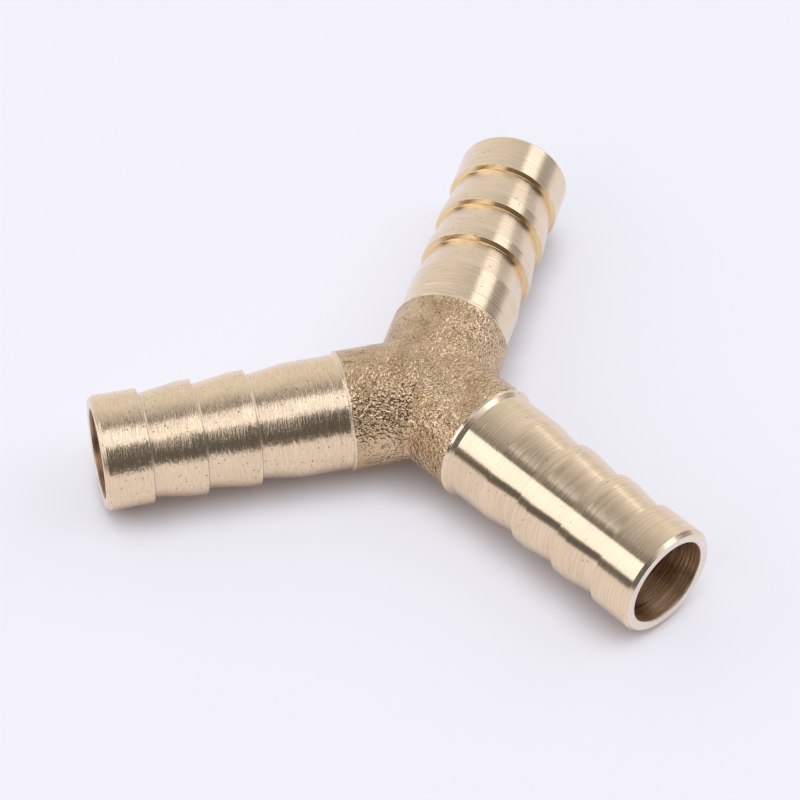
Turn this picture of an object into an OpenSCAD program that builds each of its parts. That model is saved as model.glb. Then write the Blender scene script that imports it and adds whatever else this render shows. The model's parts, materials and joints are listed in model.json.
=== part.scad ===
// Three-way barbed hose connector, a brass Y with three equal legs.
// A cast hub joins three turned hose tails. The legs lie in the XY plane and their
// bores meet at the origin. The rear leg points along +Y, and +Z is up.
// All sizes are in millimetres.

/* [Hose tail] */
// Diameter over the barb crests, which is the hose's nominal bore
crest_d = 12; // [8:0.5:20]
// Wall between a barb crest and the bore
wall = 1.25; // [1:0.05:2]
// Length of a turned tail, from the hub to the tip face
tail_length = 25.9; // [20:0.1:45]
// Depth of the chamfer round the outside of the tip, off the radius
tip_chamfer = 0.3; // [0.05:0.05:0.5]
// Length along the tail that the tip's chamfer takes
tip_chamfer_run = 0.45; // [0.05:0.05:1]
// Width of the deburring chamfer round the bore's mouth
mouth_chamfer = 0.1; // [0.05:0.05:0.4]

/* [Barbs] */
// Number of barbs on a tail, the one at the tip included
barb_count = 3; // [1:1:3]
// Distance from one barb's back edge to the next
barb_pitch = 5.6; // [3:0.1:8]
// Depth of the groove behind a barb, below the crest
barb_depth = 0.58; // [0.2:0.02:0.8]
// Length of the straight crest on the barb at the tip
tip_land = 4.9; // [2:0.1:8]
// Length of the straight crest on each other barb
crest_land = 1.3; // [0.4:0.1:2.5]
// Length along the tail that a barb's back face takes
step_run = 0.3; // [0.1:0.05:0.5]

/* [Hub] */
// Angle between the two front legs
front_spread = 120; // [90:5:150]
// Length of a hub arm, from the closest crotch to its tail
neck_length = 5.2; // [2:0.1:12]
// Height of the cast skin above the barb crests
hub_proud = 0.25; // [0.1:0.05:1]
// Height of a tail's root collar above the barb crests
collar_proud = 0.4; // [0.1:0.05:1]
// Length of the straight root collar
collar_length = 0.3; // [0.1:0.05:1]
// Length of the bevel from the root collar down to the tail
collar_bevel = 0.5; // [0.1:0.05:1]

/* [Hidden] */
crest_r = crest_d / 2;
bore_r = crest_r - wall;
root_r = crest_r - barb_depth;
hub_r = crest_r + hub_proud;
collar_r = crest_r + collar_proud;
collar_end = collar_length + collar_bevel;

// How far a cutting shape runs past the face it cuts
overshoot = 1;

// How far the caps over the centre of the hub stand out of the arms, and their share of its radius
cap_margin = 0.03;
cap_share = 1 / 3;

// Directions of the legs in the XY plane, anticlockwise from +X
left_angle = 270 - front_spread / 2;
right_angle = 270 + front_spread / 2;
rear_angle = 90;
LEG_ANGLES = [left_angle, right_angle, rear_angle];

// The hub arms part last where the legs are closest together
closest_spread = min(front_spread, (360 - front_spread) / 2);
crotch_reach = hub_r / tan(closest_spread / 2);
hub_reach = crotch_reach + neck_length;

cast_brass = [0.64, 0.54, 0.39];
turned_brass = [0.80, 0.71, 0.57];
$fn = 96;

// Back edge of barb k, measured from the hub, where barb 0 is the one at the tip
function barb_edge(k) = tail_length - tip_land - k * barb_pitch;

// Start of the ramp up to barb k: the next crest's end, or the collar on a short tail
function ramp_start(k) = max(collar_end, barb_edge(k + 1) + crest_land);

// Ramp and back face between barb k and what lies before it, as radius and length
function barb_points(k) = [
    [crest_r, ramp_start(k)],
    [root_r, barb_edge(k) - step_run],
    [crest_r, barb_edge(k)]
];

// Turns +Z into a leg's direction
module along_leg(angle) {
    rotate([90, 0, angle + 90]) children();
}

// Half of a tail's length section, with the leg's axis as its inner edge
module tail_section() {
    polygon(concat(
        [[bore_r, 0], [collar_r, 0], [collar_r, collar_length], [crest_r, collar_end]],
        [for (k = [barb_count - 1 : -1 : 0]) each barb_points(k)],
        [[crest_r, tail_length - tip_chamfer_run], [crest_r - tip_chamfer, tail_length]],
        [[bore_r + mouth_chamfer, tail_length], [bore_r, tail_length - mouth_chamfer]]
    ));
}

// One turned hose tail, set against the end of its hub arm
module hose_tail(angle) {
    color(turned_brass)
        along_leg(angle)
            translate([0, 0, hub_reach])
                rotate_extrude() tail_section();
}

// Three equal round arms that run out from the origin, and domed caps over the two points
// where their surfaces would only touch
module meeting_arms(radius, length) {
    for (angle = LEG_ANGLES) along_leg(angle) cylinder(r = radius, h = length);
    intersection() {
        rotate([90, 0, 0]) sphere(r = radius + cap_margin);
        cylinder(r = radius * cap_share, h = 3 * radius, center = true);
    }
}

// Cast centre of the connector, with the three bores running into each other
module cast_hub() {
    color(cast_brass)
        difference() {
            meeting_arms(hub_r, hub_reach);
            meeting_arms(bore_r, hub_reach + overshoot);
        }
}

module left_hose_tail() {
    hose_tail(left_angle);
}

module right_hose_tail() {
    hose_tail(right_angle);
}

module rear_hose_tail() {
    hose_tail(rear_angle);
}

cast_hub();
left_hose_tail();
right_hose_tail();
rear_hose_tail();
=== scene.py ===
"""Looks of the three-way barbed hose connector: a cast brass hub and three turned hose tails.

Each piece is modelled in millimetres by operators, as at a bench, and then shrunk to the frame's metres.
"""

import json
import logging
import math
from contextlib import contextmanager
from dataclasses import dataclass, field
from enum import Enum
from typing import Any, Iterator, Sequence

import bpy
import numpy as np
from bpy.types import Material, Node, NodeSocket, NodeTree, Object
from mathutils import Matrix, Vector

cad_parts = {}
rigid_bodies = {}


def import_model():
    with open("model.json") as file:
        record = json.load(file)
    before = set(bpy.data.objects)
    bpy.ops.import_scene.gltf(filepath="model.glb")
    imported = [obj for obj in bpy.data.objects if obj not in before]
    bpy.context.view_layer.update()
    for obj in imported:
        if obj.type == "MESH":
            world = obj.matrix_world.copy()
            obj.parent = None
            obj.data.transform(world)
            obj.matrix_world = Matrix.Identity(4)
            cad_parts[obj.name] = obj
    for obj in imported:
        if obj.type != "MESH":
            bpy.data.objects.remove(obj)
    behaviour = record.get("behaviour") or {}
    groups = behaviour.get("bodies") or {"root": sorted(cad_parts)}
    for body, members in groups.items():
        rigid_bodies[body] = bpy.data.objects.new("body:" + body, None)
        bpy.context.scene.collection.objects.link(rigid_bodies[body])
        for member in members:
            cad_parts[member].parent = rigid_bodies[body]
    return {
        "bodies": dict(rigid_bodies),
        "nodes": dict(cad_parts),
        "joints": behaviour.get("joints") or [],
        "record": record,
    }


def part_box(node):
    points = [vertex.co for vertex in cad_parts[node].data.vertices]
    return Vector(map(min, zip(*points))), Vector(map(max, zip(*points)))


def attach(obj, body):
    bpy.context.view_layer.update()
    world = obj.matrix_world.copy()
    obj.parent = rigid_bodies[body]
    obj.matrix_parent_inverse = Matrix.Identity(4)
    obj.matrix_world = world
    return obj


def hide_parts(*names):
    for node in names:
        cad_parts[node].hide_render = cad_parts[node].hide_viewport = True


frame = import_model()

LOG = logging.getLogger("hose_connector")
BODY = "root"
MM_PER_M = 1000.0
FULL_TURN = 2 * math.pi
ROUND_STEPS = 192  # sides of a round piece
MERGE_GAP = 0.0005  # in millimetres
NODE_SPACING = 220
UP = Vector((0, 0, 1))
Colour = tuple[float, float, float, float]
Pair = tuple[float, float]
Key = int | str
Feed = float | Sequence[float] | NodeSocket
Feeds = dict[Key, Feed]


def rgb(red: float, green: float, blue: float) -> Colour:
    """An opaque colour from its three linear parts."""
    return (red, green, blue, 1.0)


# ---------------- the frame


class Leg(Enum):
    """The three legs, by the first word of their names in the frame."""

    LEFT = "left"
    RIGHT = "right"
    REAR = "rear"

    @property
    def node(self) -> str:
        """Name of the leg's CAD node."""
        return f"{self.value}_hose_tail"


@dataclass(frozen=True)
class FrameSizes:
    """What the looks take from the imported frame, in millimetres.

    Attributes:
        hub_reach: From the centre to the end face of a hub arm.
        tip_reach: From the centre to a tip face.
        crest_r: Radius over the barb crests.
        bore_r: Radius of the bores.
        collar_r: Radius of the root collars, on which the part rests.
        directions: Unit direction of each leg.
    """

    hub_reach: float
    tip_reach: float
    crest_r: float
    bore_r: float
    collar_r: float
    directions: dict[Leg, Vector]

    @classmethod
    def read(cls, loaded: dict[str, Any]) -> "FrameSizes":
        """Reads the sizes from the loaded frame.


        Returns:
            The sizes in millimetres.
        """
        low, high = (corner * MM_PER_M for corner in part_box(Leg.REAR.node))
        mounts = {mount["name"]: mount for mount in loaded["record"]["mounts"]}
        return cls(
            hub_reach=low.y,
            tip_reach=high.y,
            crest_r=mounts["rear_hose_seat"]["dims"]["r_mm"],
            bore_r=mounts["rear_port"]["dims"]["r_mm"],
            collar_r=high.z,
            directions={leg: Vector(mounts[f"{leg.value}_hose_seat"]["axis"]) for leg in Leg},
        )

    @property
    def tail_length(self) -> float:
        """Length of a tail, from its hub face to its tip face."""
        return self.tip_reach - self.hub_reach


# ---------------- the bench


class Bench:
    """Modelling moves that every piece shares. The bench works in millimetres."""

    @staticmethod
    def pick(*pieces: Object) -> None:
        """Selects only these pieces, the first one active.

        Args:
            pieces: The pieces to select.
        """
        bpy.ops.object.select_all(action="DESELECT")
        for piece in pieces:
            piece.select_set(True)
        bpy.context.view_layer.objects.active = pieces[0]

    @classmethod
    @contextmanager
    def editing(cls, piece: Object, everything: bool = True) -> Iterator[None]:
        """Opens a piece in edit mode, by vertices, while a block runs.

        Args:
            piece: The piece to edit.
            everything: Whether all of it is selected first.

        Yields:
            Nothing, once the piece is open.
        """
        cls.pick(piece)
        bpy.ops.object.mode_set(mode="EDIT")
        bpy.ops.mesh.select_mode(type="VERT")
        if everything:
            bpy.ops.mesh.select_all(action="SELECT")
        yield
        bpy.ops.object.mode_set(mode="OBJECT")

    @staticmethod
    def points(piece: Object) -> np.ndarray:
        """Reads a piece's vertices.

        Args:
            piece: The piece.

        Returns:
            Their positions, one row each.
        """
        flat = np.empty(len(piece.data.vertices) * 3, np.float32)
        piece.data.vertices.foreach_get("co", flat)
        return flat.reshape(-1, 3).astype(float)

    @classmethod
    def modify(cls, piece: Object, kind: str, **settings: Any) -> None:
        """Adds one modifier and applies it.

        Args:
            piece: The piece to modify.
            kind: The modifier's type.
            settings: Its settings by name.
        """
        cls.pick(piece)
        modifier = piece.modifiers.new(kind.title(), kind)
        for name, value in settings.items():
            setattr(modifier, name, value)
        bpy.ops.object.modifier_apply(modifier=modifier.name)

    @staticmethod
    def rod(radius: float, length: float, direction: Vector, lift: float = 0.0) -> Object:
        """A closed round rod from the centre outwards.

        Args:
            radius: Its radius.
            length: Its length.
            direction: Unit direction of its axis.
            lift: How far its axis is raised.

        Returns:
            The rod, unturned and at the origin, with its place in its mesh.
        """
        middle = direction * (length / 2) + UP * lift
        turn = direction.to_track_quat("Z", "Y").to_euler()
        bpy.ops.mesh.primitive_cylinder_add(
            vertices=ROUND_STEPS, radius=radius, depth=length, location=middle, rotation=turn
        )
        bpy.ops.object.transform_apply()
        return bpy.context.object

    @classmethod
    def weld(cls, first: Object, *others: Object) -> Object:
        """Joins solids into one by boolean union.

        Args:
            first: The solid that is kept.
            others: Those that are joined to it and removed.

        Returns:
            The joined solid.
        """
        for other in others:
            cls.modify(first, "BOOLEAN", operation="UNION", object=other, solver="EXACT")
            bpy.data.objects.remove(other, do_unlink=True)
        return first

    @classmethod
    def skin(cls, piece: Object, voxel: float, smoothing: int) -> None:
        """Covers a solid with an even skin of small faces, then eases its edges.

        Args:
            piece: The solid.
            voxel: Size of the skin's faces.
            smoothing: Number of smoothing rounds.
        """
        cls.pick(piece)
        piece.data.remesh_voxel_size = voxel
        bpy.ops.object.voxel_remesh()
        cls.modify(piece, "SMOOTH", factor=0.5, iterations=smoothing)

    @classmethod
    def finish(cls, piece: Object, name: str) -> Object:
        """Names a piece and shrinks it from millimetres to metres.

        Args:
            piece: The modelled piece.
            name: Its name.

        Returns:
            The piece at the origin, unturned and unscaled.
        """
        cls.pick(piece)
        piece.name = name
        piece.data.name = name
        piece.scale = (1 / MM_PER_M,) * 3
        bpy.ops.object.transform_apply(location=False, rotation=False, scale=True)
        return piece


# ---------------- materials


class NodeSheet:
    """A node tree that is filled in node by node, each fed as it is added."""

    def __init__(self, tree: NodeTree) -> None:
        """Starts on an empty tree."""
        self.tree = tree
        self.tree.nodes.clear()

    def node(self, kind: str, feeds: Feeds | None = None, **settings: Any) -> Node:
        """Adds a node.

        Args:
            kind: The node's type, without its ShaderNode prefix.
            feeds: What goes into each input, a value or another node's output.
            settings: The node's own settings by name.

        Returns:
            The node.
        """
        node = self.tree.nodes.new(f"ShaderNode{kind}")
        node.location = (NODE_SPACING * len(self.tree.nodes), 0)
        for name, value in settings.items():
            setattr(node, name, value)
        for key, feed in (feeds or {}).items():
            self.feed(node.inputs[key], feed)
        return node

    def add(self, kind: str, feeds: Feeds | None = None, out: Key = 0, **settings: Any) -> NodeSocket:
        """Adds a node and takes one of its outputs."""
        return self.node(kind, feeds, **settings).outputs[out]

    def feed(self, socket: NodeSocket, feed: Feed) -> None:
        """Fills one input.

        Args:
            socket: The input.
            feed: An output that is linked to it, or the value that it takes.
        """
        if isinstance(feed, NodeSocket):
            self.tree.links.new(feed, socket)
        else:
            socket.default_value = feed

    def maths(self, operation: str, first: Feed, second: Feed = 0.0, clamp: bool = False) -> NodeSocket:
        """The result of one sum on two numbers."""
        return self.add("Math", {0: first, 1: second}, operation=operation, use_clamp=clamp)

    def scaled_sum(self, base: Feed, added: Feed, share: Feed) -> NodeSocket:
        """A number plus a share of another."""
        return self.maths("ADD", base, self.maths("MULTIPLY", added, share))

    def blend(self, share: Feed, first: Feed, second: Feed, mode: str = "MIX") -> NodeSocket:
        """A mix of two colours by a share."""
        return self.add("Mix", {0: share, 6: first, 7: second}, out=2, data_type="RGBA", blend_type=mode)

    def ramp(self, value: Feed, low: float, high: float, start: float = 0.0, end: float = 1.0) -> NodeSocket:
        """A value moved smoothly from start to end as the input goes from low to high."""
        feeds = {"Value": value, "From Min": low, "From Max": high, "To Min": start, "To Max": end}
        return self.add("MapRange", feeds, interpolation_type="SMOOTHSTEP")

    def noise(self, place: Feed, scale: Feed, detail: float = 2.0, roughness: float = 0.5) -> NodeSocket:
        """Noise from 0 to 1 at a place."""
        feeds = {"Vector": place, "Scale": scale, "Detail": detail, "Roughness": roughness}
        return self.add("TexNoise", feeds)

    def bump(self, height: Feed, depth: float, under: Feed | None = None) -> NodeSocket:
        """Tilts the surface to follow a height.

        Args:
            height: The height.
            depth: What a height of 1 stands for, in metres.
            under: A normal that it is laid over.

        Returns:
            The new normal.
        """
        feeds: Feeds = {"Height": height, "Distance": depth, "Strength": 1.0}
        if under is not None:
            feeds["Normal"] = under
        return self.add("Bump", feeds)

    def use(self, effect: NodeTree, feeds: Feeds) -> Node:
        """Adds a shared effect."""
        return self.node("Group", feeds, node_tree=effect)


class FinishSheet(NodeSheet):
    """The node sheet of a new material."""

    def __init__(self, name: str) -> None:
        """Makes the material.

        Args:
            name: Its name.
        """
        self.made = bpy.data.materials.new(name)
        self.made.use_nodes = True
        super().__init__(self.made.node_tree)

    def surface(self, shell: NodeSocket) -> Material:
        """Sends a shader to the surface of the material, which is then complete."""
        self.node("OutputMaterial", {"Surface": shell})
        return self.made


class Effect:
    """A shared surface effect: one node group with named inputs and outputs."""

    def __init__(self, name: str, place: str, numbers: Sequence[str], outputs: Sequence[str]) -> None:
        """Makes the group and its sockets.

        Args:
            name: The group's name.
            place: Name of its vector input.
            numbers: Names of its other inputs, which are all numbers.
            outputs: Names of its outputs, likewise.
        """
        self.tree = bpy.data.node_groups.new(name, "ShaderNodeTree")
        sockets = self.tree.interface
        sockets.new_socket(place, in_out="INPUT", socket_type="NodeSocketVector")
        for labels, way in ((numbers, "INPUT"), (outputs, "OUTPUT")):
            for label in labels:
                sockets.new_socket(label, in_out=way, socket_type="NodeSocketFloat")
        self.sheet = NodeSheet(self.tree)
        self.source = self.tree.nodes.new("NodeGroupInput")
        self.drain = self.tree.nodes.new("NodeGroupOutput")

    def given(self, label: str) -> NodeSocket:
        """One of the group's inputs."""
        return self.source.outputs[label]

    def give(self, label: str, feed: NodeSocket) -> None:
        """Sends a value out of the group."""
        self.sheet.feed(self.drain.inputs[label], feed)


def make_tool_marks() -> NodeTree:
    """Fine rings that a cutting tool leaves round a turned surface.

    Returns:
        A group that takes the section map, where X is millimetres along the section and Y is turns.
    """
    effect = Effect("tool_marks", "Section", ("Pitch", "Waver"), ("Rings", "Streaks"))
    sheet = effect.sheet
    split = sheet.node("SeparateXYZ", {0: effect.given("Section")}).outputs
    turn = sheet.maths("MULTIPLY", split[1], FULL_TURN)
    waver = effect.given("Waver")
    across = sheet.maths("MULTIPLY", sheet.maths("COSINE", turn), waver)
    up = sheet.maths("MULTIPLY", sheet.maths("SINE", turn), waver)
    along = sheet.maths("DIVIDE", split[0], effect.given("Pitch"))
    place = sheet.add("CombineXYZ", {0: along, 1: across, 2: up})
    effect.give("Rings", sheet.noise(place, 1.0, detail=3.0, roughness=0.65))
    stretch = (1.1, 1.2, 1.2)
    wider = sheet.add("VectorMath", {0: place, 1: stretch}, operation="MULTIPLY")
    effect.give("Streaks", sheet.noise(wider, 1.0, roughness=0.6))
    return effect.tree


def make_pits() -> NodeTree:
    """Scattered round pits.

    Returns:
        A group whose Mask is 1 inside a pit and 0 elsewhere.
    """
    scale, smallest, spread, steepness = 2100.0, 0.35, 0.15, 3.0
    effect = Effect("pits", "Place", ("Share",), ("Mask",))
    sheet = effect.sheet
    cells = sheet.node("TexVoronoi", {"Vector": effect.given("Place"), "Scale": scale}).outputs
    draw = sheet.add("SeparateColor", {0: cells["Color"]})
    picked = sheet.maths("LESS_THAN", draw, effect.given("Share"))
    largeness = sheet.maths("ADD", sheet.maths("DIVIDE", draw, effect.given("Share")), smallest)
    size = sheet.maths("MULTIPLY", spread, largeness)
    depth = sheet.maths("SUBTRACT", 1.0, sheet.maths("DIVIDE", cells["Distance"], size), clamp=True)
    edge = sheet.maths("MULTIPLY", depth, steepness, clamp=True)
    effect.give("Mask", sheet.maths("MULTIPLY", edge, picked))
    return effect.tree


def make_grain() -> NodeTree:
    """Worm-like relief of a cast skin.

    Returns:
        A group that gives the relief's Height and a slower Patch value.
    """
    worm_scale, broad_scale, patch_scale, broad_share = 3000.0, 1080.0, 300.0, 0.8
    effect = Effect("cast_grain", "Place", (), ("Height", "Patch"))
    sheet, place = effect.sheet, effect.given("Place")
    worms = sheet.noise(place, worm_scale, detail=1.0, roughness=0.4)
    broad = sheet.noise(place, broad_scale, detail=1.0)
    effect.give("Height", sheet.scaled_sum(worms, broad, broad_share))
    effect.give("Patch", sheet.noise(place, patch_scale, detail=3.0, roughness=0.6))
    return effect.tree


def make_tarnish() -> NodeTree:
    """Soft cloudy staining with drifting edges.

    Returns:
        A group whose Mask goes from 0, clean, to 1, stained.
    """
    scale, clean, stained = 180.0, 0.42, 0.68
    effect = Effect("tarnish", "Place", (), ("Mask",))
    clouds = effect.sheet.noise(effect.given("Place"), scale, detail=4.0, roughness=0.62)
    effect.give("Mask", effect.sheet.ramp(clouds, clean, stained))
    return effect.tree


def make_nicks() -> NodeTree:
    """Small nicks along worn edges.

    Returns:
        A group whose Height drops where an edge is nicked. Its Edge input is 1 on an edge and 0 off it.
    """
    scale, whole, bitten = 2300.0, 0.5, 0.62
    effect = Effect("edge_nicks", "Place", ("Edge",), ("Height",))
    sheet = effect.sheet
    bites = sheet.ramp(sheet.noise(effect.given("Place"), scale, roughness=0.6), whole, bitten)
    bites = sheet.maths("MULTIPLY", bites, effect.given("Edge"))
    effect.give("Height", sheet.maths("SUBTRACT", 1.0, bites))
    return effect.tree


@dataclass(frozen=True)
class Effects:
    """The shared surface effects."""

    tool_marks: NodeTree = field(default_factory=make_tool_marks)
    pits: NodeTree = field(default_factory=make_pits)
    grain: NodeTree = field(default_factory=make_grain)
    tarnish: NodeTree = field(default_factory=make_tarnish)
    nicks: NodeTree = field(default_factory=make_nicks)


SECTION_MAP = "section"
EDGE_MAP = "edge"
NOISE_BAND = (0.3, 0.7)
PALEST_STREAK = 1.05
WORN_EDGE = rgb(0.93, 0.84, 0.70)
PIT_TONE = rgb(0.12, 0.075, 0.04)
PIT_SHADE, PIT_DEPTH = 0.7, 3.0e-5
SWAY_SCALE, DENT_SCALE = 210.0, 1500.0

# Levels of the cast relief where each change starts, and where it is full. The hollow band places the
# painted shade in the relief's hollows.
PATCH_BAND, PAINTED_HOLLOW_SHADE_BAND, DULLING_BAND = (0.35, 0.65), (0.8, 0.5), (0.98, 0.78)


@dataclass(frozen=True)
class MachinedBrass:
    """Bare brass as a cutting tool leaves it. Depths are in metres.

    Attributes:
        name: The material's name.
        clean: Colour of the fresh metal.
        stained: Colour where it has dulled.
        stain_share: How strongly the stains show.
        roughness: Roughness of the surface.
        streak_roughness: How much the streaks add to it.
        stretch: How far a highlight spreads along the section and not round it.
        ring_pitch: Spacing of the tool marks, in millimetres.
        ring_depth: Depth of the tool marks.
        sway_depth: Depth of the slow unevenness.
        dent_depth: Depth of the small dents.
        pit_share: Share of the pit cells that hold a pit.
        ring_waver: How often a tool mark changes on its way round.
        edge_shine: How much paler the worn edges are.
        film: Weight of a thin clear film, which pales glancing views.
        streak_shade: Tone of the darkest streaks, where 1 is the metal's.
        nick_depth: Depth of the nicks in its edges.
    """

    name: str
    clean: Colour
    stained: Colour
    stain_share: float = 0.35
    roughness: float = 0.17
    streak_roughness: float = 0.08
    stretch: float = 0.9
    ring_pitch: float = 0.26
    ring_depth: float = 9.0e-6
    sway_depth: float = 4.0e-5
    dent_depth: float = 5.0e-6
    pit_share: float = 0.07
    ring_waver: float = 1.0
    edge_shine: float = 0.25
    film: float = 0.0
    streak_shade: float = 0.94
    nick_depth: float = 2.5e-5

    def material(self, effects: Effects) -> Material:
        """Makes the material.

        Args:
            effects: The shared effects.

        Returns:
            The material.
        """
        sheet = FinishSheet(self.name)
        place = sheet.add("TexCoord", out="Object")
        section = sheet.add("UVMap", uv_map=SECTION_MAP)
        lathe = {"Section": section, "Pitch": self.ring_pitch, "Waver": self.ring_waver}
        marks = sheet.use(effects.tool_marks, lathe).outputs
        edge = sheet.add("Attribute", out="Fac", attribute_name=EDGE_MAP)
        pits = sheet.use(effects.pits, {"Place": place, "Share": self.pit_share}).outputs["Mask"]
        stain = sheet.use(effects.tarnish, {"Place": place}).outputs["Mask"]
        share = sheet.maths("MULTIPLY", stain, self.stain_share)
        metal = sheet.blend(share, self.clean, self.stained)
        shade = sheet.ramp(marks["Streaks"], *NOISE_BAND, self.streak_shade, PALEST_STREAK)
        streaked = sheet.blend(1.0, metal, shade, mode="MULTIPLY")
        worn = sheet.blend(sheet.maths("MULTIPLY", edge, self.edge_shine), streaked, WORN_EDGE)
        colour = sheet.blend(sheet.maths("MULTIPLY", pits, PIT_SHADE), worn, PIT_TONE)
        rough = sheet.scaled_sum(self.roughness, marks["Streaks"], self.streak_roughness)
        normal = sheet.bump(sheet.noise(place, SWAY_SCALE, detail=1.0), self.sway_depth)
        normal = sheet.bump(sheet.noise(place, DENT_SCALE), self.dent_depth, normal)
        normal = sheet.bump(marks["Rings"], self.ring_depth, normal)
        nicks = sheet.use(effects.nicks, {"Place": place, "Edge": edge}).outputs["Height"]
        normal = sheet.bump(nicks, self.nick_depth, normal)
        normal = sheet.bump(sheet.maths("SUBTRACT", 1.0, pits), PIT_DEPTH, normal)
        shell = sheet.add("BsdfPrincipled", {
            "Base Color": colour, "Metallic": 1.0, "Roughness": rough, "Anisotropic": self.stretch,
            "Coat Weight": self.film, "Coat Roughness": 0.2,
            "Normal": normal, "Tangent": sheet.add("Tangent", direction_type="UV_MAP", uv_map=SECTION_MAP),
        })
        return sheet.surface(shell)


@dataclass(frozen=True)
class CastBrass:
    """Brass with the blasted skin of a casting.

    Attributes:
        name: The material's name.
        bright: Colour of the skin's high spots.
        dull: Colour of its dulled patches.
        painted_hollow_shade: Colour of the painted shade in the hollows of the relief.
        roughness: Roughness of the skin.
        patch_roughness: Range over which the patches change it.
        hollow_dulling: Roughness added below the high spots of the relief.
        relief: What a relief height of 1 stands for, in metres.
    """

    name: str
    bright: Colour
    dull: Colour
    painted_hollow_shade: Colour
    roughness: float = 0.12
    patch_roughness: float = 0.1
    hollow_dulling: float = 0.14
    relief: float = 2.6e-4

    def material(self, effects: Effects) -> Material:
        """Makes the material.

        Args:
            effects: The shared effects.

        Returns:
            The material.
        """
        sheet = FinishSheet(self.name)
        place = sheet.add("TexCoord", out="Object")
        grain = sheet.use(effects.grain, {"Place": place}).outputs
        colour = sheet.blend(sheet.ramp(grain["Patch"], *PATCH_BAND), self.bright, self.dull)
        # Painted shade: the relief's hollows are darkened towards the hollow colour.
        colour = sheet.blend(sheet.ramp(grain["Height"], *PAINTED_HOLLOW_SHADE_BAND), colour, self.painted_hollow_shade)
        least = self.roughness - self.patch_roughness / 2
        rough = sheet.scaled_sum(least, grain["Patch"], self.patch_roughness)
        dulled = sheet.ramp(grain["Height"], *DULLING_BAND)
        rough = sheet.scaled_sum(rough, dulled, self.hollow_dulling)
        normal = sheet.bump(grain["Height"], self.relief)
        shell = sheet.add("BsdfPrincipled", {
            "Base Color": colour, "Metallic": 1.0, "Roughness": rough, "Normal": normal,
        })
        return sheet.surface(shell)


@dataclass(frozen=True)
class PaleTable:
    """The plain pale surface that the part lies on.

    Attributes:
        name: The material's name.
        colour: Colour of the open table.
        painted_shadow_colour: Colour of the painted contact shadow close to the part, with painted warm
            light bounced from the brass.
        painted_shadow_reach: How far from the part the painted shadow can reach, in metres.
        painted_shadow_band: Openness where the painted shadow is deepest and where it ends.
        glow_share: Share of its own glow in what the camera and the metal see.
        glow_in_painted_shadow_and_open: Strength of the glow in the painted shadow close to the part, and in
            the open.
        mottle: Darkest and palest tone of its slow mottling.
        mottle_scale: Fineness of the mottling, as noise scale per metre.
    """

    name: str = "pale_table"
    colour: Colour = rgb(0.885, 0.875, 0.925)
    painted_shadow_colour: Colour = rgb(0.45, 0.33, 0.28)
    painted_shadow_reach: float = 0.0055
    painted_shadow_band: Pair = (0.1, 0.8)
    glow_share: float = 0.55
    glow_in_painted_shadow_and_open: Pair = (0.35, 1.2)
    mottle: Pair = (0.995, 1.0)
    mottle_scale: float = 9.0

    def material(self) -> Material:
        """Makes the material, which looks pale to camera and metal alike but keeps the lamps' shadow, and
        adds a painted contact shadow to its glow near the part.

        Returns:
            The material.
        """
        sheet = FinishSheet(self.name)
        place = sheet.add("TexCoord", out="Object")
        tone = sheet.ramp(sheet.noise(place, self.mottle_scale, detail=3.0), *NOISE_BAND, *self.mottle)
        colour = sheet.blend(1.0, self.colour, tone, mode="MULTIPLY")
        matt = {"Base Color": colour, "Roughness": 0.9, "Specular IOR Level": 0.0}
        shell = sheet.add("BsdfPrincipled", matt)
        ray = sheet.node("LightPath").outputs
        seen = sheet.maths("MAXIMUM", ray["Is Camera Ray"], ray["Is Glossy Ray"])
        seen = sheet.maths("MAXIMUM", seen, ray["Is Transmission Ray"])
        # Painted contact shadow: near the part, ambient occlusion dims the glow that camera and metal see,
        # and warms it towards a painted bounce colour.
        clear_of_painted_shadow = sheet.add("AmbientOcclusion", {"Distance": self.painted_shadow_reach}, out="AO", samples=6)
        clear_of_painted_shadow = sheet.ramp(clear_of_painted_shadow, *self.painted_shadow_band)
        tint = sheet.blend(clear_of_painted_shadow, self.painted_shadow_colour, self.colour)
        weakest, full = self.glow_in_painted_shadow_and_open
        strength = sheet.add("MapRange", {"Value": clear_of_painted_shadow, "To Min": weakest, "To Max": full})
        glow = sheet.add("Emission", {"Color": tint, "Strength": strength})
        lit = sheet.add("MixShader", {0: sheet.maths("MULTIPLY", seen, self.glow_share), 1: shell, 2: glow})
        return sheet.surface(lit)


# ---------------- the hose tails


class Region(Enum):
    """The differently finished regions of a tail, in the order of its material slots."""

    TURNED = 0
    FACE = 1
    BORE = 2
    STEP = 3


@dataclass(frozen=True)
class Corner:
    """One corner of a tail's section, and the run of surface that starts at it.

    Attributes:
        along: Distance from the hub face.
        radius: Distance from the leg's axis.
        arc: Radius that rounds the corner, or 0 for a sharp one.
        region: Finish of the run from here to the next corner.
    """

    along: float
    radius: float
    arc: float = 0.0
    region: Region = Region.TURNED

    @property
    def spot(self) -> Vector:
        """The corner as a flat point."""
        return Vector((self.along, self.radius))


@dataclass(frozen=True)
class TailForm:
    """What differs between the three tails, which were turned one by one.

    Attributes:
        steps: Corners of the root collar, as distance from the hub face and radius.
        scores: Scored lines round the root, as distance from the hub face and depth.
        step_lean: Length along the tail that a barb's back face takes.
        root_arc: Radius in the corner at the foot of a barb's back face.
    """

    steps: tuple[Pair, ...]
    scores: tuple[Pair, ...] = ()
    step_lean: float = 0.17
    root_arc: float = 0.16


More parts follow.
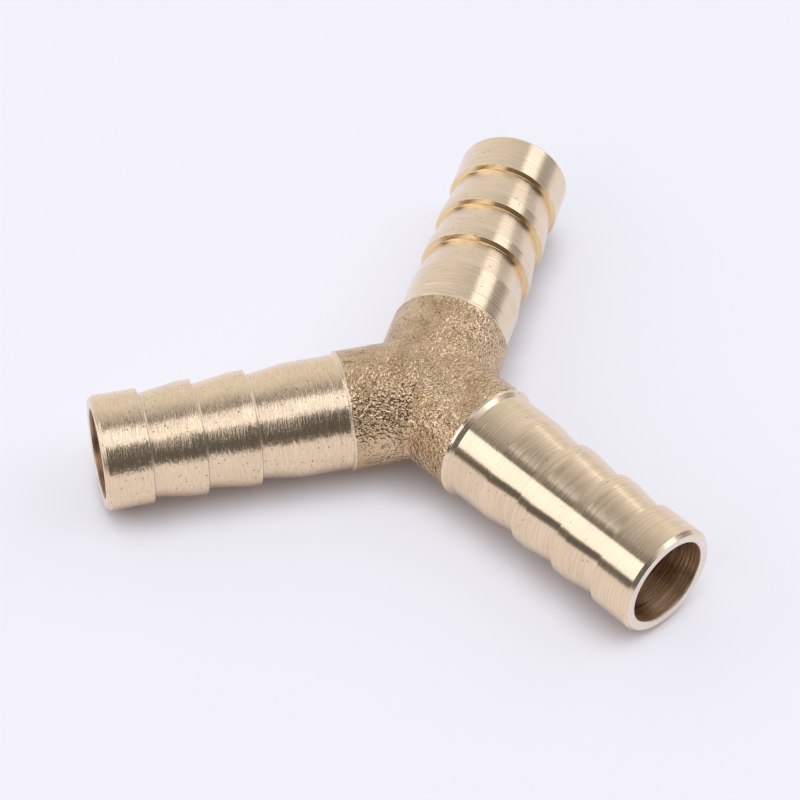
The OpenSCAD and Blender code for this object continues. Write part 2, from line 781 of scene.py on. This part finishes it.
FORMS = {
    Leg.LEFT: TailForm(
        steps=((0.0, 6.31), (0.11, 6.31), (0.38, 6.03)), scores=((1.5, 0.035), (3.5, 0.012)),
    ),
    Leg.RIGHT: TailForm(steps=((0.0, 6.40), (0.3, 6.35), (0.78, 6.02)), scores=((1.9, 0.008),)),
    Leg.REAR: TailForm(
        steps=((0.0, 6.28), (0.1, 6.27), (0.3, 6.03)), scores=((0.6, 0.03), (2.1, 0.035)),
        step_lean=0.14, root_arc=0.06,
    ),
}


FRESH = rgb(0.86, 0.67, 0.465)
DULLED = rgb(0.74, 0.58, 0.40)

TURNED_FINISHES = {
    Leg.LEFT: MachinedBrass(
        "turned_brass_left", FRESH, DULLED, roughness=0.18, streak_roughness=0.12, stretch=0.84,
        ring_pitch=0.19, ring_depth=8.0e-5, ring_waver=4.0, sway_depth=9.0e-5, dent_depth=6.0e-6,
        pit_share=0.9, edge_shine=0.5,
    ),
    Leg.RIGHT: MachinedBrass(
        "turned_brass_right", FRESH, DULLED, ring_pitch=0.19, ring_depth=2.2e-5, ring_waver=1.2,
        sway_depth=1.0e-5, dent_depth=4.0e-6, pit_share=0.3, film=0.3, streak_shade=0.92, nick_depth=6.0e-6,
    ),
    Leg.REAR: MachinedBrass(
        "turned_brass_rear", FRESH, DULLED, roughness=0.16, ring_pitch=0.2, ring_depth=4.0e-5,
        ring_waver=1.5, dent_depth=6.0e-6, sway_depth=3.0e-5, pit_share=0.3, edge_shine=0.5, film=0.9,
    ),
}

SHARED_FINISHES = (
    MachinedBrass(
        "faced_brass", clean=rgb(0.91, 0.80, 0.70), stained=rgb(0.86, 0.75, 0.65),
        roughness=0.33, stretch=0.3, ring_depth=4.0e-6, pit_share=0.02,
    ),
    # The bore's colours are darker than the outer brass: painted shade inside the bore.
    MachinedBrass(
        "bored_brass_painted_shade", clean=rgb(0.72, 0.475, 0.28), stained=rgb(0.47, 0.29, 0.155),
        roughness=0.36, stretch=0.85, ring_pitch=0.3, ring_depth=1.3e-4, ring_waver=0.5, streak_shade=0.7,
    ),
)

STEP_FINISHES = {
    Leg.LEFT: MachinedBrass(
        "torn_steps", clean=rgb(0.84, 0.72, 0.58), stained=rgb(0.66, 0.54, 0.40),
        roughness=0.26, stretch=0.2, ring_depth=1.0e-5, dent_depth=5.0e-5, pit_share=0.2, edge_shine=0.6,
    ),
    Leg.RIGHT: MachinedBrass("plain_steps", FRESH, DULLED, roughness=0.14, stretch=0.4),
    Leg.REAR: MachinedBrass(
        "bright_steps", clean=rgb(0.90, 0.69, 0.42), stained=rgb(0.84, 0.62, 0.36),
        roughness=0.12, stretch=0.3, ring_depth=3.0e-6, pit_share=0.03, edge_shine=0.5,
    ),
}


@dataclass
class HoseTail:
    """One turned hose tail: root collar, three barbs, tip chamfer and bore.

    All sizes are in millimetres, and distances along the tail start at its hub face. An arc is the
    radius of a corner, and arc_share is the most of a run that a rounded corner takes.
    """

    leg: Leg
    sizes: FrameSizes
    barb_count: int = 3
    barb_pitch: float = 5.6
    barb_depth: float = 0.58
    tip_land: float = 4.9
    crest_land: float = 1.3
    tip_chamfer: float = 0.3
    tip_chamfer_run: float = 0.45
    mouth_chamfer: float = 0.1
    crest_arc: float = 0.03
    ramp_arc: float = 0.5
    score_arc: float = 0.02
    tip_arc: float = 0.02
    mouth_arc: float = 0.05
    score_width: float = 0.09
    edge_wear: float = 0.12
    arc_share: float = 0.45
    arc_steps: int = 4
    least_turn: float = 0.001
    longest_run: float = 0.9

    @property
    def name(self) -> str:
        """Name of the finished piece."""
        return f"{self.leg.value}_barbed_tail"

    def root_corners(self) -> list[Corner]:
        """Corners from the bore's hub end over the root collar to the last scored line.

        Returns:
            The corners in order.
        """
        form, level, half = FORMS[self.leg], self.sizes.crest_r, self.score_width / 2
        corners = [Corner(0.0, self.sizes.bore_r)]
        corners += [Corner(along, radius, self.crest_arc) for along, radius in form.steps]
        for along, depth in form.scores:
            corners += [
                Corner(along - half, level, self.score_arc / 2),
                Corner(along, level - depth, self.score_arc),
                Corner(along + half, level, self.score_arc / 2),
            ]
        return corners

    def barb_corners(self, barb: int) -> list[Corner]:
        """Corners of one barb.

        Args:
            barb: Number of the barb, where 0 is the one at the tip.

        Returns:
            The start of its ramp, its root and its crest.
        """
        crest, length, form = self.sizes.crest_r, self.sizes.tail_length, FORMS[self.leg]
        edge = length - self.tip_land - barb * self.barb_pitch
        return [
            Corner(edge - self.barb_pitch + self.crest_land, crest, self.ramp_arc),
            Corner(edge - form.step_lean, crest - self.barb_depth, form.root_arc, Region.STEP),
            Corner(edge, crest, self.crest_arc),
        ]

    def tip_corners(self) -> list[Corner]:
        """Corners of the tip, from its outer chamfer to the bore's mouth.

        Returns:
            The corners in order.
        """
        crest, bore, length = self.sizes.crest_r, self.sizes.bore_r, self.sizes.tail_length
        return [
            Corner(length - self.tip_chamfer_run, crest, self.tip_arc),
            Corner(length, crest - self.tip_chamfer, self.tip_arc, Region.FACE),
            Corner(length, bore + self.mouth_chamfer, self.tip_arc, Region.FACE),
            Corner(length - self.mouth_chamfer, bore, self.mouth_arc, Region.BORE),
        ]

    def corners(self) -> list[Corner]:
        """All corners of the closed section, in order."""
        barbs = [corner for barb in reversed(range(self.barb_count)) for corner in self.barb_corners(barb)]
        return self.root_corners() + barbs + self.tip_corners()

    def rounded(self, before: Corner, here: Corner, after: Corner) -> list[Vector]:
        """Points that round one corner.

        Args:
            before: The corner before it.
            here: The corner to round.
            after: The corner after it.

        Returns:
            The points in order, or the corner itself where it is sharp.
        """
        into, away = here.spot - before.spot, after.spot - here.spot
        turn = into.angle(away)
        if not here.arc or turn < self.least_turn:
            return [here.spot]
        most = self.arc_share * min(into.length, away.length)
        reach = min(here.arc * math.tan(turn / 2), most)
        start, end = here.spot - into.normalized() * reach, here.spot + away.normalized() * reach
        points = []
        for step in range(self.arc_steps + 1):
            share = step / self.arc_steps
            points.append(start * (1 - share) ** 2 + here.spot * (2 * share * (1 - share)) + end * share**2)
        return points

    def outline(self) -> tuple[list[Vector], list[Region]]:
        """The closed section, with its corners rounded and its long runs split.

        Returns:
            Its points, and the finish of the run after each point.
        """
        corners = self.corners()
        spots: list[Vector] = []
        regions: list[Region] = []
        for index, here in enumerate(corners):
            before, after = corners[index - 1], corners[(index + 1) % len(corners)]
            for point in self.rounded(before, here, after):
                spots.append(point)
                regions.append(here.region)
        points: list[Vector] = []
        finishes: list[Region] = []
        for index, (here, region) in enumerate(zip(spots, regions)):
            run = spots[(index + 1) % len(spots)] - here
            pieces = max(1, math.ceil(run.length / self.longest_run))
            shares = [step / pieces for step in range(pieces)]
            if run.length > 3 * self.edge_wear:
                shoulder = self.edge_wear / run.length
                shares = sorted(shares + [shoulder, 1 - shoulder])
            points += [here + run * share for share in shares]
            finishes += [region] * len(shares)
        return points, finishes

    def build(self) -> Object:
        """Draws the section, spins it round the leg's axis and finishes the piece.

        Returns:
            The tail.
        """
        points, finishes = self.outline()
        axis = self.sizes.directions[self.leg]
        places = [axis * (self.sizes.hub_reach + point.x) + UP * point.y for point in points]
        bpy.ops.mesh.primitive_plane_add(size=1.0, location=places[0])
        bpy.ops.object.transform_apply()
        tail = bpy.context.object
        with Bench.editing(tail):
            bpy.ops.mesh.merge(type="CENTER")
            for here, after in zip(places, places[1:] + places[:1]):
                bpy.ops.mesh.extrude_vertices_move(TRANSFORM_OT_translate={"value": tuple(after - here)})
            bpy.ops.mesh.select_all(action="SELECT")
            bpy.ops.mesh.remove_doubles(threshold=MERGE_GAP)
            bpy.ops.mesh.select_all(action="SELECT")
            bpy.ops.mesh.spin(steps=ROUND_STEPS, angle=FULL_TURN, center=(0, 0, 0), axis=axis)
            bpy.ops.mesh.select_all(action="SELECT")
            bpy.ops.mesh.remove_doubles(threshold=MERGE_GAP)
            bpy.ops.mesh.normals_make_consistent(inside=False)
        self.map_section(tail, points, finishes)
        bpy.ops.object.shade_smooth()
        Bench.modify(tail, "WEIGHTED_NORMAL", mode="FACE_AREA", weight=80)
        return Bench.finish(tail, self.name)

    def map_section(self, tail: Object, points: list[Vector], finishes: list[Region]) -> None:
        """Maps the tail by length along its section and by turn, and sets each face's finish.

        Args:
            tail: The spun tail, still in millimetres.
            points: The section's points.
            finishes: The finish of the run after each point.
        """
        mesh = tail.data
        axis = np.array(self.sizes.directions[self.leg])
        side = np.cross(np.array(UP), axis)
        here = Bench.points(tail)
        along = here @ axis - self.sizes.hub_reach
        across, up = here @ side, here[:, 2]
        radius = np.hypot(across, up)
        turn = np.arctan2(across, up) / FULL_TURN + 0.5
        section = np.array(points)
        lengths = np.linalg.norm(np.roll(section, -1, axis=0) - section, axis=1)
        starts = np.concatenate([[0.0], np.cumsum(lengths)])
        nearest = np.array([
            np.argmin((section[:, 0] - a) ** 2 + (section[:, 1] - r) ** 2) for a, r in zip(along, radius)
        ])
        count = len(points)
        layer = mesh.uv_layers.new(name=SECTION_MAP)
        coordinates = np.empty((len(mesh.loops), 2), np.float32)
        for face in mesh.polygons:
            corners = [mesh.loops[loop].vertex_index for loop in face.loop_indices]
            rings = nearest[corners]
            wraps = rings.max() - rings.min() > count / 2
            turns = turn[corners]
            splits = turns.max() - turns.min() > 0.5
            ring = rings.max() if wraps else rings.min()
            face.material_index = finishes[ring].value
            for loop, vertex, number in zip(face.loop_indices, corners, rings):
                length = starts[count] if wraps and number == 0 else starts[number]
                v = turn[vertex] + (1.0 if splits and turn[vertex] < 0.5 else 0.0)
                coordinates[loop] = (length, v)
        layer.data.foreach_set("uv", coordinates.ravel())
        edges = [corner.spot for corner in self.corners() if corner.arc == self.crest_arc]
        gaps = np.min([np.hypot(along - spot.x, radius - spot.y) for spot in edges], axis=0)
        worn = mesh.attributes.new(EDGE_MAP, "FLOAT", "POINT")
        worn.data.foreach_set("value", np.clip(1.0 - gaps / self.edge_wear, 0.0, 1.0))

    def dress(self, tail: Object, finishes: Sequence[Material]) -> None:
        """Gives the tail its finishes and sets it in the frame.

        Args:
            tail: The built tail.
            finishes: Its materials, in the order of the regions.
        """
        for finish in finishes:
            tail.data.materials.append(finish)
        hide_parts(self.leg.node)
        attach(tail, BODY)


# ---------------- the hub


@dataclass(frozen=True)
class Arm:
    """One arm of the cast hub: its radius and how far the casting sits above the leg's axis."""

    radius: float
    lift: float


ARMS = {
    Leg.LEFT: Arm(6.25, 0.06),
    Leg.RIGHT: Arm(6.21, 0.08),
    Leg.REAR: Arm(6.29, 0.01),
}


# The hollow colour is painted shade for the hollows of the cast relief.
CAST_FINISH = CastBrass(
    "cast_brass", bright=rgb(0.73, 0.53, 0.335), dull=rgb(0.57, 0.395, 0.23), painted_hollow_shade=rgb(0.38, 0.24, 0.12),
)


@dataclass
class CastHub:
    """The cast middle of the connector, with the three bores running into each other.

    All sizes are in millimetres, and crease is the angle in degrees above which an edge stays sharp.
    """

    sizes: FrameSizes
    name: str = "cast_hub_body"
    spare: float = 1.2
    skin_voxel: float = 0.12
    bore_voxel: float = 0.3
    grain_size: float = 0.3
    grain_height: float = 0.06
    swell_size: float = 1.8
    swell_height: float = 0.06
    skin_smoothing: int = 30
    bore_smoothing: int = 1
    cut_gap: float = 0.0001
    end_gap: float = 0.002
    crease: float = 62.0

    def shell(self, arms: dict[Leg, Arm], voxel: float, smoothing: int) -> Object:
        """Three rods run together under one skin.

        Args:
            arms: Radius and lift of each rod.
            voxel: Size of the skin's faces.
            smoothing: Number of smoothing rounds.

        Returns:
            A closed shell that is longer than the hub.
        """
        length = self.sizes.hub_reach + self.spare
        ways = self.sizes.directions
        rods = [Bench.rod(arm.radius, length, ways[leg], arm.lift) for leg, arm in arms.items()]
        shell = Bench.weld(*rods)
        Bench.skin(shell, voxel, smoothing)
        return shell

    def roughen(self, shell: Object) -> None:
        """Raises the casting's slow unevenness and then its grain.

        Args:
            shell: The outer shell.
        """
        swell = ("swell", self.swell_size, self.swell_height)
        grain = ("grain", self.grain_size, self.grain_height)
        for name, size, height in (swell, grain):
            pattern = bpy.data.textures.new(name, "CLOUDS")
            pattern.noise_scale = size
            pattern.noise_depth = 1
            Bench.modify(
                shell, "DISPLACE", texture=pattern, strength=height, mid_level=0.5, texture_coords="LOCAL"
            )

    def trim(self, shell: Object) -> None:
        """Cuts a shell off square at the end of each arm, and leaves the ends open.

        Args:
            shell: The shell.
        """
        with Bench.editing(shell):
            for direction in self.sizes.directions.values():
                end = direction * self.sizes.hub_reach
                bpy.ops.mesh.select_all(action="SELECT")
                bpy.ops.mesh.bisect(
                    plane_co=end, plane_no=direction, clear_outer=True, threshold=self.cut_gap
                )

    def close_end(self, hub: Object, direction: Vector) -> None:
        """Bridges the outer and the bore's edge at the end of one arm, and removes no face there.

        Args:
            hub: The joined shells.
            direction: Direction of the arm.
        """
        mesh = hub.data
        off_plane = np.abs(Bench.points(hub) @ np.array(direction) - self.sizes.hub_reach)
        chosen = off_plane < self.end_gap
        mesh.vertices.foreach_set("select", chosen)
        ends = np.empty(len(mesh.edges) * 2, np.int32)
        mesh.edges.foreach_get("vertices", ends)
        mesh.edges.foreach_set("select", chosen[ends.reshape(-1, 2)].all(axis=1))
        mesh.polygons.foreach_set("select", np.zeros(len(mesh.polygons), bool))
        with Bench.editing(hub, everything=False):
            bpy.ops.mesh.bridge_edge_loops()

    def build(self) -> Object:
        """Makes the outer skin and the bores, cuts both to length and joins them.

        Returns:
            The hub.
        """
        outer = self.shell(ARMS, self.skin_voxel, self.skin_smoothing)
        self.roughen(outer)
        straight = {leg: Arm(self.sizes.bore_r, 0.0) for leg in Leg}
        bores = self.shell(straight, self.bore_voxel, self.bore_smoothing)
        for shell in (outer, bores):
            self.trim(shell)
        Bench.pick(outer, bores)
        bpy.ops.object.join()
        for direction in self.sizes.directions.values():
            self.close_end(outer, direction)
        with Bench.editing(outer):
            bpy.ops.mesh.normals_make_consistent(inside=False)
        bpy.ops.object.shade_smooth_by_angle(angle=math.radians(self.crease))
        return Bench.finish(outer, self.name)

    def dress(self, hub: Object, skin: Material) -> None:
        """Gives the hub its finish and sets it in the frame.

        Args:
            hub: The built hub.
            skin: Its material.
        """
        hub.data.materials.append(skin)
        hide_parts("cast_hub")
        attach(hub, BODY)


# ---------------- the studio


@dataclass(frozen=True)
class Softbox:
    """A large soft lamp, placed by the directions that it fills, seen from the part.

    Attributes:
        name: The lamp's name.
        edge: Direction that two of its sides run along, in degrees from +X.
        tilt: Lowest and highest tilt from straight up across those sides, in degrees.
        reach: Where it starts and ends along that direction, as tangents from its middle line.
        side: Which way it tilts: 1 to the left of the edge direction, -1 to the right.
        radiance: How bright it looks, where 1 is white.
        distance: Distance from the part, in metres.
        tint: Its colour, a little cool.
    """

    name: str
    edge: float
    tilt: Pair
    reach: Pair
    side: int
    radiance: float
    distance: float = 3.0
    tint: tuple[float, float, float] = (0.98, 1.0, 1.1)

    def build(self) -> None:
        """Sets the lamp up."""
        low, high = (math.radians(angle) for angle in self.tilt)
        start, end = self.reach
        heading = math.radians(self.edge)
        along = Vector((math.cos(heading), math.sin(heading), 0))
        aside = UP.cross(along) * self.side
        middle = (low + high) / 2
        out = UP * math.cos(middle) + aside * math.sin(middle)
        length = self.distance * (end - start)
        width = 2 * self.distance * math.tan((high - low) / 2)
        spot = out * self.distance + along * (self.distance * (start + end) / 2)
        frame_axes = Matrix((along, out.cross(along), out)).transposed()
        bpy.ops.object.light_add(type="AREA", location=spot, rotation=frame_axes.to_euler())
        lamp = bpy.context.object
        lamp.name = self.name
        lamp.data.shape = "RECTANGLE"
        lamp.data.size = length
        lamp.data.size_y = width
        lamp.data.color = self.tint
        lamp.data.energy = self.radiance * math.pi * length * width
        lamp.visible_camera = False


@dataclass(frozen=True)
class Room:
    """The room that the brass reflects: pale behind the part, dim on the near side.

    Attributes:
        radius: Radius of the room's shell, in metres.
        pale_side: Direction of its pale wall, in degrees from +X.
        dim: Brightness of the near wall.
        pale: Brightness of the far wall.
        fade: Where the walls start to turn pale and where they are full, as a cosine to that side.
        depth: How far below the origin the shell is cut off, in metres.
        backdrop: Colour that the camera sees beyond the table.
    """

    radius: float = 8.0
    pale_side: float = 115.0
    dim: float = 0.12
    pale: float = 0.84
    fade: Pair = (-0.1, 0.85)
    depth: float = 0.05
    backdrop: Colour = rgb(0.888, 0.880, 0.930)

    def material(self) -> Material:
        """Makes the glow of the walls and the ceiling.

        Returns:
            The material.
        """
        sheet = FinishSheet("room_walls")
        place = sheet.add("VectorMath", {0: sheet.add("TexCoord", out="Object")}, operation="NORMALIZE")
        heading = math.radians(self.pale_side)
        pale_way = (math.cos(heading), math.sin(heading), 0.0)
        towards = sheet.add("VectorMath", {0: place, 1: pale_way}, out="Value", operation="DOT_PRODUCT")
        glow = sheet.ramp(towards, *self.fade, self.dim, self.pale)
        made = sheet.surface(sheet.add("Emission", {"Strength": glow}))
        made.cycles.emission_sampling = "NONE"
        return made

    def build(self) -> None:
        """Builds the shell, which the camera doesn't see, and the backdrop beyond it."""
        bpy.ops.mesh.primitive_uv_sphere_add(segments=48, ring_count=24, radius=self.radius)
        shell = bpy.context.object
        shell.name = "room_shell"
        with Bench.editing(shell):
            bpy.ops.mesh.bisect(plane_co=UP * -self.depth, plane_no=-UP, clear_outer=True)
        shell.data.materials.append(self.material())
        shell.visible_camera = False
        world = bpy.data.worlds.new("backdrop")
        world.use_nodes = True
        world.node_tree.nodes["Background"].inputs["Color"].default_value = self.backdrop
        bpy.context.scene.world = world


@dataclass(frozen=True)
class Table:
    """The table top under the part."""

    width: float = 3.0
    finish: PaleTable = PaleTable()

    def build(self, sizes: FrameSizes) -> None:
        """Lays the table top under the root collars.

        Args:
            sizes: The frame's sizes.
        """
        bpy.ops.mesh.primitive_plane_add(size=self.width, location=(0, 0, -sizes.collar_r / MM_PER_M))
        top = bpy.context.object
        top.name = "table_top"
        bpy.ops.object.transform_apply()
        top.data.materials.append(self.finish.material())


@dataclass(frozen=True)
class ViewPoint:
    """Where the camera stands, in metres and degrees."""

    spot: tuple[float, float, float] = (0.071530, -0.255815, 0.283983)
    azimuth: float = 16.21
    elevation: float = 46.965
    roll: float = 0.366
    lens: float = 168.45

    def build(self) -> None:
        """Sets up the camera."""
        azimuth, elevation, roll = (math.radians(a) for a in (self.azimuth, self.elevation, self.roll))
        flat = math.cos(elevation)
        back = Vector((math.sin(azimuth) * flat, -math.cos(azimuth) * flat, math.sin(elevation)))
        level = Vector((math.cos(azimuth), math.sin(azimuth), 0))
        rise = back.cross(level)
        right = level * math.cos(roll) + rise * math.sin(roll)
        top = rise * math.cos(roll) - level * math.sin(roll)
        turn = Matrix((right, top, back)).transposed()
        bpy.ops.object.camera_add(location=self.spot, rotation=turn.to_euler())
        camera = bpy.context.object
        camera.name = "camera"
        camera.data.sensor_width = 36.0
        camera.data.lens = self.lens
        camera.data.clip_start, camera.data.clip_end = 0.01, 50.0
        bpy.context.scene.camera = camera


SOFTBOXES = (
    Softbox("top_softbox", edge=30, tilt=(-2, 36), reach=(-0.31, 1.6), side=-1, radiance=1.08),
    Softbox("left_softbox", edge=150, tilt=(33, 72), reach=(-0.3, 1.3), side=1, radiance=1.35),
    Softbox("right_softbox", edge=90, tilt=(24, 57), reach=(0.0, 1.6), side=-1, radiance=0.92),
)


def main() -> None:
    """Builds the connector and its studio in order, and reports each piece."""
    logging.basicConfig(level=logging.INFO, format="%(name)s: %(message)s")
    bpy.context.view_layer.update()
    sizes = FrameSizes.read(frame)
    effects = Effects()
    shared = [finish.material(effects) for finish in SHARED_FINISHES]
    for leg in Leg:
        tail = HoseTail(leg, sizes)
        piece = tail.build()
        steps = STEP_FINISHES[leg].material(effects)
        tail.dress(piece, [TURNED_FINISHES[leg].material(effects), *shared, steps])
        LOG.info("%s: %d faces", piece.name, len(piece.data.polygons))
    hub = CastHub(sizes)
    piece = hub.build()
    hub.dress(piece, CAST_FINISH.material(effects))
    LOG.info("%s: %d faces", piece.name, len(piece.data.polygons))
    Table().build(sizes)
    Room().build()
    for softbox in SOFTBOXES:
        softbox.build()
    ViewPoint().build()
    bpy.context.scene.view_settings.view_transform = "Standard"


if __name__ == "__main__":
    main()
